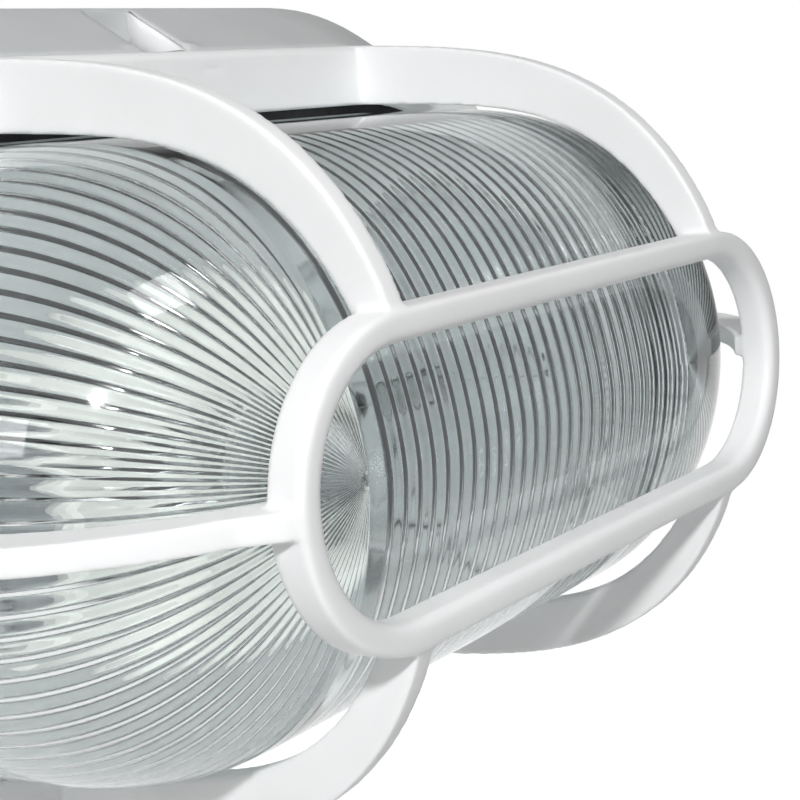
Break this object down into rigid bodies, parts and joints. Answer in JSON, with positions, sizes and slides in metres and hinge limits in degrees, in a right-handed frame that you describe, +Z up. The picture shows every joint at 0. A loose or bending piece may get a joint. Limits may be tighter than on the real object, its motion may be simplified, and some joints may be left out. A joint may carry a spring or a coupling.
{
  "type": "oval caged sauna wall light",
  "caption": "Oval wall light with a fluted clear glass dome, rubber rim gasket, cast base and a white cage of ribs ending in a long front hoop.",
  "frame": {"origin": "centre of the flat back of the base, on the wall plane", "axes": "+X along the light, -Y out of the wall through the front hoop, +Z up"},
  "size_m": [0.2454, 0.103, 0.1464],
  "materials": {
    "white_paint": "white powder coat, smooth semi-gloss",
    "clear_glass": "clear pressed soda glass, fluted inside, faint green",
    "black_rubber": "matt black",
    "tray_enamel": "silver grey enamel, satin",
    "zinc_steel": "bright zinc plate",
    "glazed_ceramic": "white glazed ceramic",
    "brass_part": "plain",
    "clear_lamp": "clear glass bulb",
    "brown_silicone": "silicone wire sleeve",
    "blue_silicone": "silicone wire sleeve",
    "grey_silicone": "matt"
  },
  "bodies": {
    "root": {"base_housing": "white_paint", "cage_guard": "white_paint", "glass_cover": "clear_glass", "rim_gasket": "black_rubber", "cage_screws": "zinc_steel", "cage_washers": "grey_silicone", "gear_tray": "tray_enamel", "tray_screws": "zinc_steel", "holder_body": "glazed_ceramic", "holder_shell": "brass_part", "centre_contact": "brass_part", "holder_bracket": "zinc_steel", "holder_screws": "zinc_steel", "bracket_screws": "zinc_steel", "bracket_nuts": "zinc_steel", "lamp_bulb": "clear_lamp", "terminal_block": "glazed_ceramic", "terminal_clamps": "brass_part", "clamp_screws": "zinc_steel", "block_screw": "zinc_steel", "earth_screw": "brass_part", "earth_washer": "brass_part", "live_wire": "brown_silicone", "neutral_wire": "blue_silicone", "cable_grommet": "grey_silicone", "fixing_seals": "grey_silicone"}
  },
  "joints": []
}
